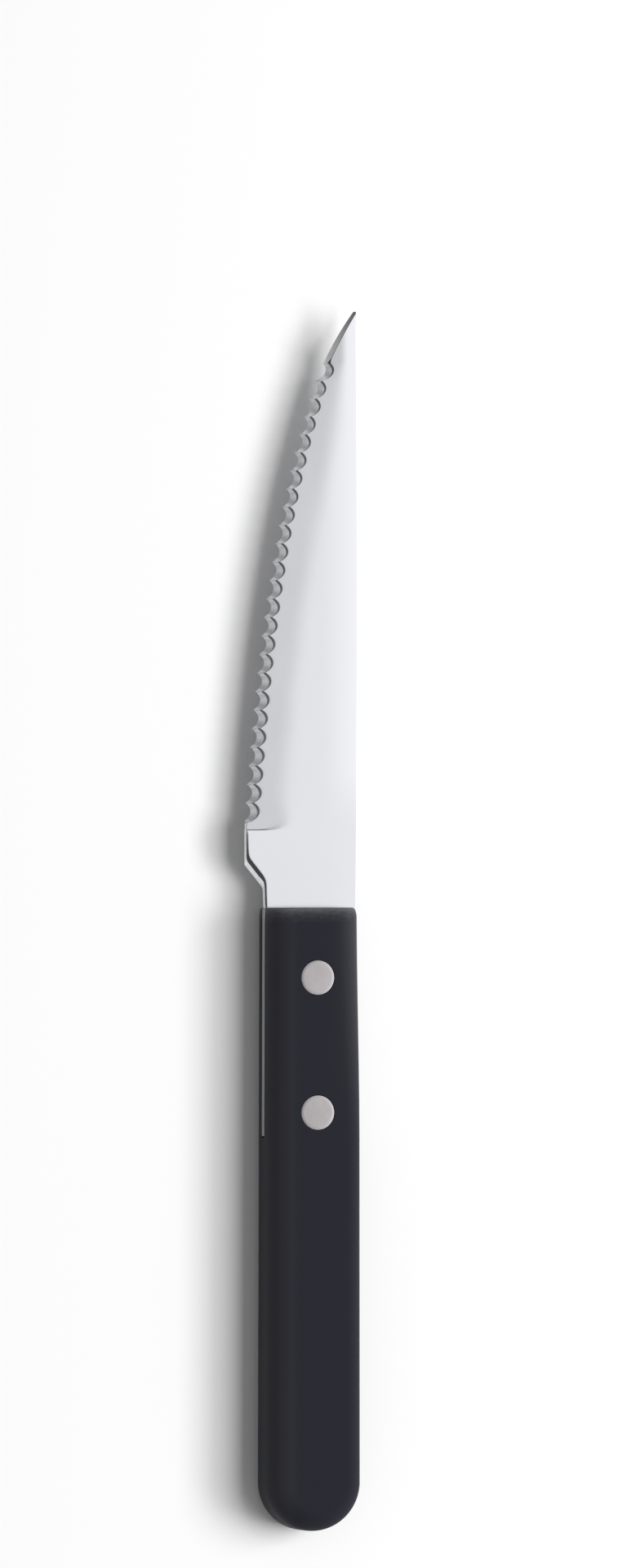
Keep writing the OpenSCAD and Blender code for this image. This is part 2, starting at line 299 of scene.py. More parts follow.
def line_on(start, end, shares, height):
    """Points on a face of the blade over shares of a straight line between two places."""
    places = [(start[0] + (end[0] - start[0]) * share, start[1] + (end[1] - start[1]) * share)
              for share in shares]
    return [(x, y, float(height(x, y))) for x, y in places]


class BladeForm:
    """Shape of the blade, in metres from the middle of the handle's flat front.

    It is a row of rungs, each a closed section: the edge's facet, the front, the spine and the back."""

    FACET_STEPS = len(MAIN_SHARES) + len(RIM_SHARES) - 1
    # Rows over the front from the crease to the spine, and over the back from the spine to the edge
    FRONT_SHARES = (*(0.965 * (step / 20) ** 1.5 for step in range(1, 21)), 0.985, 0.996, 1)
    BACK_SHARES = tuple(1 - (1 - step / 12) ** 1.6 for step in range(12))
    # Angles of the rows round each broken edge of the spine
    SPINE_TURNS = (0, 30, 60)
    # Columns of a scallop, and the angles that run the first one on below its start
    COLUMNS = 30
    PAST_TURNS = np.linspace(0.45, 0, 16)[:-1]
    # Run of the edge's line below the lowest prong, and the steps in which its length is measured
    EDGE_OVERRUN_SHARE = 0.05
    EDGE_SAMPLES = 800

    # The ground faces: rounding of their inner line, least width, most of it that counts past the
    # edge, soft share of it at the plunge, what that share gains up the blade, and over what length
    GRIND_BLEND = 1.5 * MM
    GRIND_LEAST = 4 * MM
    GRIND_MOST_SHARE = 1.2
    SOFT_SHARE = 0.2
    SOFT_GAIN_SHARE = 0.3
    SOFT_RUN = 8 * MM
    # The plunge: power with which its line bends up inwards, how much longer its step gets there
    # and with what power, and how early the step starts there
    CLIMB_POWER = 5
    PLUNGE_SPREAD = 20
    SPREAD_POWER = 4
    PLUNGE_LEAD_SHARE = 0.3
    # The fall at the spine: its share beside the flat heel, and the length over which it grows
    FALL_SHARE = 0.2
    FALL_RUN = 12 * MM

    # A scallop's reach against its height at the tip and what it gains to the heel, the first guess
    # of that reach and the rounds that mend it, and the width of the shallow rim as shares of it
    GROOVE_STEEPNESS = 1.3
    GROOVE_GAIN = 0.38
    GROOVE_GUESS = 1.3 * MM
    GROOVE_ROUNDS = 6
    RIM_LEAST_SHARE = 0.08
    RIM_GAIN_SHARE = 0.46
    RIM_POWER = 1.7
    # Share of its reach before the wall of the heel from which a column is left out
    HIDDEN_LIMIT_SHARE = 0.99

    # The heel: width of walls that stay upright, end of its rungs below the scallops, the steps
    # along its lines, and the radii at the corners of its knee and of its crease
    THIN_WALL = 0.004 * MM
    HEEL_GAP = 0.85 * MM
    HEEL_STEPS = (14, 14, 30, 12, 16)
    ARC_STEPS = 10
    KNEE_RADII = (0, 2.2 * MM, 1.6 * MM, 0, 0)
    CREASE_RADII = (0, 3.2 * MM, 2.6 * MM, 0, 0)

    # The tang: width of its broken edge, number of its even rungs, height where these end, and
    # height of the last rung
    TANG_BAND = 0.06 * MM
    TANG_RUNGS = 12
    TANG_EVEN_END = -1 * MM
    TANG_END = -0.15 * MM

    # The bevel: its steps, how they crowd towards the last scallop, and how fast it leaves that
    # scallop's width and rows
    BEVEL_STEPS = 56
    BEVEL_POWER = 1.3
    WIDTH_DECAY = 30
    CHANGE_RATE = 9
    # The cap of the blunted point: its steps, how far across its crease ends, half of its angle
    CAP_STEPS = 8
    CAP_CREASE_SHARE = 0.35
    CAP_TURN = math.radians(25)
    # Spine radius at the very tip, and its growth with the distance from there
    POINT_RADIUS = 0.008 * MM
    POINT_GROWTH = 0.05

    def __init__(self, sizes):
        self.sizes = sizes
        slant = Vector((math.sin(sizes.tip_angle), math.cos(sizes.tip_angle)))
        self.point_middle = Vector((self.spine_x(TIP_Y), TIP_Y))
        self.point_middle -= sizes.tip_radius * Vector((1, math.cos(self.CAP_TURN)))
        self.plain_end = self.point_middle + sizes.tip_radius * Vector((-slant.y, slant.x))
        self.plain_start = self.plain_end - sizes.tip_length * slant
        self.plain_way = slant
        self.low_prong = Vector((HEEL_X + sizes.low_prong_inset, sizes.low_prong_height))
        self.high_prong = self.plain_start - Vector((sizes.high_prong_left, sizes.high_prong_below))
        self.groove_way = Vector((math.cos(sizes.scallop_lean), math.sin(sizes.scallop_lean)))
        self.prongs = self.prong_points()

    def spine_x(self, y):
        """Place of the bowed spine at a height."""
        share = 2 * np.clip(y, 0, TIP_Y) / TIP_Y - 1
        return float(SPINE_TOP_X - self.sizes.spine_bow * share ** 2)

    def edge_x(self, y):
        """Place of the line of the prongs, and above it of the plain edge, at a height."""
        low, high, plain, end = self.low_prong, self.high_prong, self.plain_start, self.plain_end
        share = np.clip((y - low.y) / (high.y - low.y), -self.EDGE_OVERRUN_SHARE, 1)
        rise = sum(part * share ** power for part, power in zip(EDGE_SHARES, EDGE_POWERS))
        past = np.interp(y, (high.y, plain.y, end.y), (0, plain.x - high.x, end.x - high.x))
        return low.x + (high.x - low.x) * rise + past

    def prong_points(self):
        """Ends of the scallops: the heel, the prongs spaced evenly up the edge, and the plain edge."""
        heights = np.linspace(self.low_prong.y, self.high_prong.y, self.EDGE_SAMPLES)
        places = self.edge_x(heights)
        lengths = np.concatenate([[0], np.cumsum(np.hypot(np.diff(places), np.diff(heights)))])
        marks = np.linspace(0, lengths[-1], self.sizes.scallop_count - 1)
        tips = [Vector((float(self.edge_x(y)), float(y))) for y in np.interp(marks, lengths, heights)]
        return [Vector((HEEL_X, self.sizes.scallop_start)), *tips, self.plain_start]

    def grind_drop(self, x, y):
        """Depth of a ground face: none at its inner line, a soft start, an even bevel, the plunge."""
        sizes = self.sizes
        edge = self.edge_x(y)
        line = soft_least(edge + sizes.grind_width, sizes.grind_limit, self.GRIND_BLEND)
        width = np.maximum(line - edge, self.GRIND_LEAST)
        share = np.clip((line - x) / width, 0, self.GRIND_MOST_SHARE)
        gain = self.SOFT_GAIN_SHARE * smooth_step((y - sizes.plunge_height) / self.SOFT_RUN)
        soft = self.SOFT_SHARE + gain
        start = np.minimum(share / soft, 1)
        bevel = soft * (start ** 3 - start ** 4 / 2) + np.maximum(share - soft, 0)
        full_bevel = 1 - (self.SOFT_SHARE + self.SOFT_GAIN_SHARE) / 2
        inward = np.clip((x - HEEL_X) / sizes.grind_width, 0, 1)
        plunge_y = sizes.plunge_height + sizes.plunge_climb * inward ** self.CLIMB_POWER
        run = sizes.plunge_run * (1 + self.PLUNGE_SPREAD * inward ** self.SPREAD_POWER)
        plunge = smooth_step((y - plunge_y + self.PLUNGE_LEAD_SHARE * run * inward) / run)
        return sizes.grind_depth * bevel / full_bevel * plunge

    def spine_drop(self, x, y):
        """Fall of the polished faces to the spine, which grows up the blade and spares the tang."""
        sizes = self.sizes
        fall = np.clip((x - SPINE_TOP_X) / sizes.spine_run + 1, 0, 1)
        growth = smooth_step((y - sizes.plunge_height) / self.FALL_RUN)
        share = np.where(y < 0, 0, self.FALL_SHARE + (1 - self.FALL_SHARE) * growth)
        return sizes.spine_fall * fall ** 2 * share

    def front_z(self, x, y):
        """Height of the front face over a place."""
        return BLADE_HALF - self.grind_drop(x, y) - self.spine_drop(x, y)

    def back_z(self, x, y):
        """Height of the back face, which mirrors the front one."""
        return -self.front_z(x, y)

    def edge_z(self, spot):
        """Height of the cutting edge's upper side over a place."""
        return float(self.back_z(spot.x, spot.y)) + self.sizes.edge_land

    def scallop_arc(self, low, high, past):
        """Points of the scallop between two prongs on the back of the blade.

        The arc is round in the wheel's own section, and past holds angles that run it on below."""
        sizes = self.sizes
        way = self.groove_way
        across = Vector((-way.y, way.x))
        flat = math.sin(sizes.scallop_slope)
        a, b = (Vector((spot.dot(across), spot.dot(way) * flat)) for spot in (low, high))
        chord = b - a
        rise = math.sqrt(sizes.scallop_radius ** 2 - (chord.length / 2) ** 2)
        centre = (a + b) / 2 - Vector((-chord.y, chord.x)).normalized() * rise
        first, last = (math.atan2(spot.y - centre.y, spot.x - centre.x) for spot in (a, b))
        way_back = math.copysign(1, first - last)
        points = []
        for turn in (*(first + way_back * past), *np.linspace(first, last, self.COLUMNS + 1)):
            spot = centre + sizes.scallop_radius * Vector((math.cos(turn), math.sin(turn)))
            points.append(across * spot.x + way * (spot.y / flat))
        return points

    def groove_reach(self, spot, share):
        """Distance along the groove from the edge to the blade's front face, and the height climbed."""
        steepness = self.GROOVE_STEEPNESS + self.GROOVE_GAIN * share
        reach = self.GROOVE_GUESS
        for _ in range(self.GROOVE_ROUNDS):
            inner = spot + self.groove_way * reach
            height = float(self.front_z(inner.x, inner.y)) - self.edge_z(spot)
            reach = height * steepness
        return reach, height

    def scallop_facet(self, spot, share, column):
        """Points up a scallop's face: a steep main slope and a shallow rim that widens upwards.

        Below the first scallop the face starts on the straight wall of the heel."""
        sizes = self.sizes
        reach, height = self.groove_reach(spot, share)
        rim_reach = self.RIM_LEAST_SHARE + self.RIM_GAIN_SHARE * column ** self.RIM_POWER
        rim_height = sizes.rim_share * rim_reach
        marks = [step * (1 - rim_reach) for step in MAIN_SHARES]
        climbs = [(step + sizes.hollow_share * step * (1 - step)) * (1 - rim_height) for step in MAIN_SHARES]
        marks += [1 - rim_reach * (1 - step) for step in RIM_SHARES]
        climbs += [1 - rim_height * (1 - step) for step in RIM_SHARES]
        hidden = max(0.0, (HEEL_X - spot.x) / self.groove_way.x) / reach
        if hidden > self.HIDDEN_LIMIT_SHARE:
            return None
        facet = []
        for mark in marks:
            along = hidden + (1 - hidden) * mark
            point = spot + self.groove_way * (reach * along)
            climb = float(np.interp(along, marks, climbs))
            facet.append((point.x, point.y, self.edge_z(spot) + height * climb))
        return facet

    def scallop_facets(self):
        """Facets from the heel to the plain edge, one for each column of the scallops."""
        count = self.sizes.scallop_count
        facets = []
        for index, (low, high) in enumerate(zip(self.prongs, self.prongs[1:])):
            past = self.PAST_TURNS if index == 0 else np.array([])
            spots = self.scallop_arc(low, high, past)
            for place, spot in enumerate(spots if index == count - 1 else spots[:-1]):
                column = max(0, place - len(past)) / self.COLUMNS
                facets.append(self.scallop_facet(spot, 1 - (index + column) / count, column))
        return [facet for facet in facets if facet]

    def heel_rungs(self):
        """Rungs from the handle's front up the neck, the slope and the straight of the heel."""
        sizes = self.sizes
        outer = [Vector(corner) for corner in (
            (-sizes.neck_x, 0),
            (-sizes.neck_x - sizes.neck_flare, sizes.neck_height),
            (HEEL_X, sizes.heel_height),
            (HEEL_X, sizes.plunge_height - sizes.band_taper),
            (HEEL_X, sizes.plunge_height),
            (HEEL_X, sizes.scallop_start - self.HEEL_GAP),
        )]
        thin = self.THIN_WALL
        strips = (thin, sizes.strip_slope, thin)
        bands = (sizes.band_neck, sizes.strip_slope + sizes.band_slope, sizes.band_heel)
        knee = moved_corners(outer[:4], strips) + [spot + Vector((thin, 0)) for spot in outer[3:]]
        inner = moved_corners(outer[:4], bands) + [outer[3] + Vector((sizes.band_top, 0))]
        inner += [spot + Vector((2 * thin, 0)) for spot in outer[4:]]
        lines = (
            (outer, (0, sizes.neck_radius, sizes.heel_radius, 0, 0)),
            (knee, self.KNEE_RADII),
            (inner, self.CREASE_RADII),
        )
        paths = [filleted_path(corners, radii, self.HEEL_STEPS, self.ARC_STEPS) for corners, radii in lines]
        rungs = []
        for spot, middle, inmost in zip(*paths):
            width = min((middle - other).length for other in paths[2])
            facet = self.rolled_edge(spot, middle, inmost, width * math.tan(sizes.band_tilt))
            rungs.append(self.rung(facet, spot.y))
        return rungs

    def rolled_edge(self, spot, knee, inner, drop):
        """Points up the wall of the sheet to its knee, and over the rolled edge to the face."""
        low = self.edge_z(spot)
        top = float(self.front_z(inner.x, inner.y))
        facet = [(*spot.lerp(knee, share), low + (top - drop - low) * share) for share in MAIN_SHARES]
        facet += [(*knee.lerp(inner, share), top - drop * (1 - share)) for share in RIM_SHARES]
        return facet

    def tang_rungs(self, handle):
        """Rungs of the tang, flush with both sides of the handle."""
        rungs = []
        for y in (*np.linspace(TANG_Y, self.TANG_EVEN_END, self.TANG_RUNGS), self.TANG_END):
            belly, back = handle.side_reach(y)
            spot = Vector((-belly, y))
            inner = Vector((-belly + self.TANG_BAND, y))
            rungs.append(self.rung(self.rolled_edge(spot, spot, inner, self.TANG_BAND), y, back))
        return rungs

    def bevel_rungs(self, last_facet):
        """Rungs of the plain edge, whose bevel narrows up to the blunted point, and of its cap."""
        sizes = self.sizes
        inward = Vector((self.plain_way.y, -self.plain_way.x))
        first_inner = Vector(last_facet[-1][:2]) - self.plain_start
        first_width = first_inner.dot(inward)
        first_along = first_inner.dot(self.plain_way)
        end_along = (self.plain_end - self.plain_start).length - sizes.tip_radius
        last_rows = self.facet_rows(last_facet)
        rungs = []
        for step in range(1, self.BEVEL_STEPS + 1):
            share = (step / self.BEVEL_STEPS) ** self.BEVEL_POWER
            bow = inward * sizes.tip_bow * 4 * share * (1 - share)
            spot = self.plain_start.lerp(self.plain_end, share) - bow
            width = sizes.bevel_width + (sizes.bevel_end - sizes.bevel_width) * share ** 2
            width += (first_width - width) * math.exp(-self.WIDTH_DECAY * share)
            along = first_along + (end_along - first_along) * share
            inner = self.plain_start + self.plain_way * along + inward * width - bow
            change = smooth_step(self.CHANGE_RATE * share)
            rungs.append(self.rung(self.bevel_facet(spot, inner, last_rows, change)))
        for step in range(1, self.CAP_STEPS + 1):
            share = step / self.CAP_STEPS
            right_turn = (math.pi / 2 - self.CAP_TURN) * share
            left_turn = right_turn - sizes.tip_angle * share
            left = self.point_middle + Matrix.Rotation(-left_turn, 2) @ (self.plain_end - self.point_middle)
            right_way = Vector((math.cos(right_turn), math.sin(right_turn)))
            right = self.point_middle + sizes.tip_radius * right_way
            crease = inner.lerp(left.lerp(right, self.CAP_CREASE_SHARE), share)
            rungs.append(self.rung(self.bevel_facet(left, crease, last_rows, 1), right.y, right.x))
        return rungs

    @staticmethod
    def facet_rows(facet):
        """Each row of a facet as its share of the way from the edge to the crease and of the climb."""
        edge, crease = facet[0], facet[-1]
        reach = math.dist(edge[:2], crease[:2])
        return [(math.dist(edge[:2], spot[:2]) / reach, (spot[2] - edge[2]) / (crease[2] - edge[2]))
                for spot in facet]

    def bevel_facet(self, spot, inner, last_rows, change):
        """Points up the bevel, which changes over from the rows of the last scallop."""
        low = self.edge_z(spot)
        top = float(self.front_z(inner.x, inner.y))
        knee = inner.lerp(spot, min(0.5, self.sizes.bevel_rim / (inner - spot).length))
        drop = (inner - knee).length * math.tan(self.sizes.band_tilt)
        facet = []
        for rows in zip(last_rows, self.facet_rows(self.rolled_edge(spot, knee, inner, drop))):
            part, climb = (old + (new - old) * change for old, new in zip(*rows))
            facet.append((*spot.lerp(inner, part), low + (top - low) * climb))
        return facet

    def rung(self, facet, far_y=None, spine_x=None):
        """Closed section of the blade: the edge's wall and facet, the front, the spine, the back."""
        edge, crease = facet[0][:2], facet[-1][:2]
        far_y = crease[1] if far_y is None else far_y
        spine_x = self.spine_x(far_y) if spine_x is None else spine_x
        growth = self.POINT_GROWTH * max(0.0, TIP_Y - far_y)
        radius = min(self.sizes.spine_radius, self.POINT_RADIUS + growth)
        spine = (spine_x - radius, far_y)
        points = [(*edge, float(self.back_z(*edge)))] + facet
        points += line_on(crease, spine, self.FRONT_SHARES, self.front_z)
        top, bottom = points[-1][2], float(self.back_z(*spine))
        for side, level, turns in ((-1, top, self.SPINE_TURNS[::-1]), (1, bottom, self.SPINE_TURNS)):
            for turn in map(math.radians, turns):
                x = spine[0] + radius * math.cos(turn)
                points.append((x, far_y, level + side * radius * (1 - math.sin(turn))))
        return points + line_on(spine, edge, self.BACK_SHARES, self.back_z)

    def all_rungs(self, handle):
        """All rungs from the end of the tang to the tip, and the material of each one's facet."""
        facets = self.scallop_facets()
        parts = (
            (self.tang_rungs(handle), POLISHED),
            (self.heel_rungs(), CUT),
            ([self.rung(facet) for facet in facets], GROUND),
            (self.bevel_rungs(facets[-1]), STONED),
        )
        rungs = [rung for part, finish in parts for rung in part]
        finishes = [finish for part, finish in parts for rung in part]
        return rungs, finishes


class HandleForm:
    """Shape of the handle, in metres from the middle of its flat front."""

    # Steps of a half section over its flat, round its edge and down its side
    FLAT_STEPS = 5
    ARC_STEPS = 14
    WALL_SHARES = (1 / 3, -1 / 3)
    # Where the sections stand: angles over the rim, millimetres over the wear, even steps from the
    # grip's start, and steps round the butt
    RIM_TURNS = (0, 22, 42, 60, 76, 90)
    WEAR_DEPTHS = (0.55, 0.9, 1.3, 1.8, 2.3, 2.8, 4, 7, 11, 16)
    GRIP_START = 22 * MM
    GRIP_STEPS = 14
    BUTT_STEPS = 60
    # Shares of the sag and of the rim that the sides and their edge radii lose too
    SIDE_SAG_SHARE = 0.6
    EDGE_RIM_SHARE = 0.5

    def __init__(self, sizes):
        self.sizes = sizes
        self.butt_y = BUTT_Y + sizes.butt_radius

    def side_reach(self, y):
        """Reach of the belly side and of the spine side at a place along the handle."""
        sizes = self.sizes
        share = y / self.butt_y
        fronts = (sizes.belly_front, sizes.back_front)
        return [front + (sizes.butt_radius - front) * share for front in fronts]

    def front_wear(self, depth):
        """Loss at a distance behind the flat front: its fine rim, its buffed sag and its corner."""
        sizes = self.sizes
        rim = 0.0
        if depth < sizes.rim_radius:
            rim = sizes.rim_radius - math.sqrt(sizes.rim_radius ** 2 - (sizes.rim_radius - depth) ** 2)
        sag = sizes.sag_depth * max(0.0, 1 - depth / sizes.sag_run) ** 2
        corner = sizes.corner_depth * max(0.0, 1 - depth / sizes.corner_run) ** 2
        return rim, sag, corner

    def half_section(self, centre, way, reach, radius, half):
        """Half of a cross-section, from the middle of the top round the side to the bottom."""
        flat = reach - radius
        upper = [(flat * step / self.FLAT_STEPS, half) for step in range(self.FLAT_STEPS)]
        for step in range(self.ARC_STEPS + 1):
            turn = math.pi / 2 * (1 - step / self.ARC_STEPS)
            upper.append((flat + radius * math.cos(turn), half - radius + radius * math.sin(turn)))
        wall = [(reach, (half - radius) * share) for share in self.WALL_SHARES]
        lower = [(out, -up) for out, up in reversed(upper)]
        return [(centre.x + way.x * out, centre.y + way.y * out, up) for out, up in upper + wall + lower]

    def sections(self):
        """Half sections down the belly side, round the butt and up the spine side."""
        sizes = self.sizes
        depths = [sizes.rim_radius * (1 - math.cos(math.radians(turn))) for turn in self.RIM_TURNS]
        depths += [depth * MM for depth in self.WEAR_DEPTHS]
        depths += list(np.linspace(self.GRIP_START, -self.butt_y, self.GRIP_STEPS))
        belly_side = []
        back_side = []
        for depth in depths:
            rim, sag, corner = self.front_wear(depth)
            belly, back = self.side_reach(-depth)
            fade = float(smooth_step(1 - depth / sizes.back_run))
            back_radius = sizes.rear_radius + (sizes.back_radius - sizes.rear_radius) * fade
            belly_loss = rim + self.SIDE_SAG_SHARE * sag
            edge_loss = self.EDGE_RIM_SHARE * rim
            centre = Vector((0, -depth))
            half = HANDLE_HALF - rim - sag
            belly_side.append(self.half_section(
                centre, Vector((-1, 0)), belly - belly_loss, sizes.edge_radius - edge_loss, half))
            back_side.append(self.half_section(
                centre, Vector((1, 0)), back - rim - corner, back_radius - edge_loss, half))
        butt = []
        centre = Vector((0, self.butt_y))
        for step in range(1, self.BUTT_STEPS):
            share = step / self.BUTT_STEPS
            turn = math.pi * (1 + share)
            way = Vector((math.cos(turn), math.sin(turn)))
            radius = sizes.edge_radius + (sizes.rear_radius - sizes.edge_radius) * share
            butt.append(self.half_section(centre, way, sizes.butt_radius, radius, HANDLE_HALF))
        return belly_side + butt + back_side[::-1]


def new_object(name, data):
    """Object in the scene that holds a mesh, a lamp or a camera."""
    thing = bpy.data.objects.new(name, data)
    bpy.context.scene.collection.objects.link(thing)
    return thing


def add_piece(name, mesh, node):
    """Puts a finished mesh at the handle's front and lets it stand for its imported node."""
    mesh.transform(Matrix.Translation(FRONT_MIDDLE))
    piece = new_object(name, mesh)
    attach(piece, "root")
    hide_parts(node)


def skin(sections, rows, material_of=lambda step, row: 0):
    """Faces over rows between neighbouring sections, each with its material."""
    count = len(sections[0])
    faces = []
    for step in range(len(sections) - 1):
        start = step * count
        for row in rows:
            after = (row + 1) % count
            ring = [start + row, start + after, start + count + after, start + count + row]
            faces.append((ring, material_of(step, row)))
    return faces


def mesh_from(name, sections, faces):
    """Mesh of sections and faces with doubles merged and all faces turned outwards."""
    form = bmesh.new()
    corners = [form.verts.new(point) for section in sections for point in section]
    for face, material in faces:
        form.faces.new([corners[index] for index in face]).material_index = material
    bmesh.ops.remove_doubles(form, verts=form.verts, dist=MERGE_DISTANCE)
    bmesh.ops.dissolve_degenerate(form, edges=form.edges, dist=MERGE_DISTANCE)
    bmesh.ops.recalc_face_normals(form, faces=form.faces)
    mesh = bpy.data.meshes.new(name)
    form.to_mesh(mesh)
    form.free()
    return mesh


def cut_away(mesh, cutters):
    """Cuts closed meshes out of another one exactly."""
    body = new_object("body", mesh)
    tools = [new_object("cutter", cutter) for cutter in cutters]
    for tool in tools:
        change = body.modifiers.new("cut", 'BOOLEAN')
        change.operation = 'DIFFERENCE'
        change.solver = 'EXACT'
        change.object = tool
    graph = bpy.context.evaluated_depsgraph_get()
    result = bpy.data.meshes.new_from_object(body.evaluated_get(graph))
    for thing in tools + [body]:
        old = thing.data
        bpy.data.objects.remove(thing)
        bpy.data.meshes.remove(old)
    return result


def shade(mesh, *materials):
    """Smooth faces with hard edges at sharp corners, and the materials of the mesh."""
    mesh.polygons.foreach_set("use_smooth", [True] * len(mesh.polygons))
    mesh.set_sharp_from_angle(angle=CREASE_ANGLE)
    for material in materials:
        mesh.materials.append(material)


def turned_mesh(name, profile, place, segments):
    """Mesh turned round an upright axis from a profile that starts and ends on that axis."""
    sections = []
    for step in range(segments + 1):
        turn = 2 * math.pi * (step % segments) / segments
        sections.append([(place.x + radius * math.cos(turn), place.y + radius * math.sin(turn), height)
                         for radius, height in profile])
    return mesh_from(name, sections, skin(sections, range(len(profile) - 1)))


def box_mesh(name, low, high):
    """Closed box between two corners."""
    points = [(x, y, z) for x in (low[0], high[0]) for y in (low[1], high[1]) for z in (low[2], high[2])]
    sides = [(0, 1, 3, 2), (4, 6, 7, 5), (0, 4, 5, 1), (2, 3, 7, 6), (0, 2, 6, 4), (1, 5, 7, 3)]
    return mesh_from(name, [points], [(side, 0) for side in sides])


def rivet_places():
    """Middles of the two rivets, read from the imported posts."""
    places = {}
    for end in ("front", "rear"):
        low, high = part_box(end + "_rivet_post")
        places[end] = ((low + high) / 2 - FRONT_MIDDLE).to_2d()
    return places


class Graph:
    """Node tree of a material or of the world, with short calls that add and join its nodes."""

    def __init__(self, owner):
        owner.use_nodes = True
        self.owner = owner
        self.nodes = owner.node_tree.nodes
        self.links = owner.node_tree.links

    def fill(self, node, inputs):
        """Gives inputs of a node, by name or number, a plain value or another node's output."""
        for key, value in inputs.items():
            if isinstance(value, bpy.types.NodeSocket):
                self.links.new(value, node.inputs[key])
            else:
                node.inputs[key].default_value = value

    def add(self, kind, output, inputs=None, **settings):
        """Adds a node, fills its inputs and gives back one of its outputs."""
        node = self.nodes.new("ShaderNode" + kind)
        for name, value in settings.items():
            setattr(node, name, value)
        self.fill(node, inputs or {})
        return node.outputs[output]

    def math(self, operation, first, second):
        """Result of an operation on two values."""
        return self.add("Math", "Value", {0: first, 1: second}, operation=operation)

    def spread(self, value, to_low, to_high, low=0.3, high=0.7, **settings):
        """Value spread to a new range, from the one that noise mostly fills or from another."""
        reach = {"From Min": low, "From Max": high, "To Min": to_low, "To Max": to_high}
        return self.add("MapRange", "Result", {"Value": value, **reach}, **settings)

    def axes(self, output):
        """The three parts of a place, given by an output of the texture coordinates."""
        place = self.add("TexCoord", output)
        return self.add("SeparateXYZ", "X", {"Vector": place}).node.outputs

    def noise(self, scale, detail=3.0, roughness=0.5, turn=0.0):
        """Noise whose grain has this many waves a metre along each axis of the turned object."""
        place = self.add("TexCoord", "Object")
        grain = self.add("Mapping", "Vector", {"Vector": place, "Rotation": (0, 0, turn), "Scale": scale})
        inputs = {"Vector": grain, "Scale": 1.0, "Detail": detail, "Roughness": roughness}
        return self.add("TexNoise", "Fac", inputs)

    def blend(self, share, first, second):
        """Colour between two colours."""
        inputs = {"Factor": share, "A": (*first, 1), "B": (*second, 1)}
        return self.add("Mix", "Result", inputs, data_type='RGBA')

    def ramp(self, value, stops):
        """Grey tones at stops along a value from -1 to 1."""
        colour = self.add("ValToRGB", "Color", {"Fac": self.spread(value, 0, 1, low=-1, high=1)})
        elements = colour.node.color_ramp.elements
        while len(elements) < len(stops):
            elements.new(0.5)
        for element, (place, tone) in zip(elements, stops):
            element.position = (place + 1) / 2
            element.color = (tone, tone, tone, 1)
        return colour

    def bump(self, height, strength, distance):
        """Normal of a fine relief."""
        return self.add("Bump", "Normal", {"Height": height, "Strength": strength, "Distance": distance})

    def finish(self, colour, roughness, normal, **inputs):
        """Fills the shader and gives back the finished material."""
        surface = {"Base Color": colour, "Roughness": roughness, "Normal": normal}
        self.fill(self.nodes["Principled BSDF"], {**surface, **inputs})
        return self.owner


def material_graph(name):
    """Graph of a new material."""
    return Graph(bpy.data.materials.new(name))


def shifted(colour, factor):
    """A colour made lighter or darker."""
    return tuple(min(1.0, part * factor) for part in colour)


def polished_steel(colour):
    """Satin stainless steel: fine lines across the blade, faint clouds and a few hair scratches."""
    graph = material_graph("blade_satin_steel")
    lines = graph.noise((900, 26000, 9000), detail=2.0)
    clouds = graph.noise((160, 90, 160))
    scratches = graph.noise((1500, 60000, 1500), detail=1.0, turn=math.radians(24))
    tone = graph.math('ADD', graph.spread(clouds, 0.0, 0.6), graph.spread(lines, 0.0, 0.4))
    rough = graph.math('ADD', graph.spread(lines, 0.15, 0.2), graph.spread(clouds, 0.0, 0.03))
    relief = graph.math('ADD', graph.math('MULTIPLY', lines, 0.7), graph.math('MULTIPLY', scratches, 0.3))
    return graph.finish(graph.blend(tone, shifted(colour, 0.97), shifted(colour, 1.03)), rough,
                        graph.bump(relief, 0.05, 0.002 * MM), Metallic=1.0)


def ground_steel(name, colour, lean, rough):
    """Steel off the grinding wheel or the press: coarser lines that lean with the cut, and dull spots."""
    graph = material_graph(name)
    lines = graph.noise((1200, 16000, 1200), turn=lean)
    spots = graph.noise((1800, 1800, 1800), detail=4.0, roughness=0.65)
    tone = graph.math('ADD', graph.spread(lines, 0.0, 0.6), graph.spread(spots, 0.0, 0.4))
    return graph.finish(graph.blend(tone, shifted(colour, 0.9), shifted(colour, 1.08)),
                        graph.spread(lines, rough, rough + 0.08),
                        graph.bump(lines, 0.12, 0.004 * MM), Metallic=1.0)


def matt_bevel_with_painted_shade(colour, start_y):
    """Stoned bevel of the tip: matt grain, with painted shade that darkens it towards the point."""
    graph = material_graph("tip_stoned_steel")
    grain = graph.noise((5200, 5200, 5200), roughness=0.7)
    along = graph.axes("Object")["Y"]
    # Painted shade: the colour darkens from the bevel's start towards the point
    rise = graph.spread(along, 0.1, 1.0, low=FRONT_MIDDLE.y + start_y, high=FRONT_MIDDLE.y + TIP_Y)
    tone = graph.math('ADD', rise, graph.spread(grain, -0.12, 0.12))
    return graph.finish(graph.blend(tone, colour, shifted(colour, 0.14)), graph.spread(grain, 0.38, 0.5),
                        graph.bump(grain, 0.3, 0.01 * MM), Metallic=1.0)


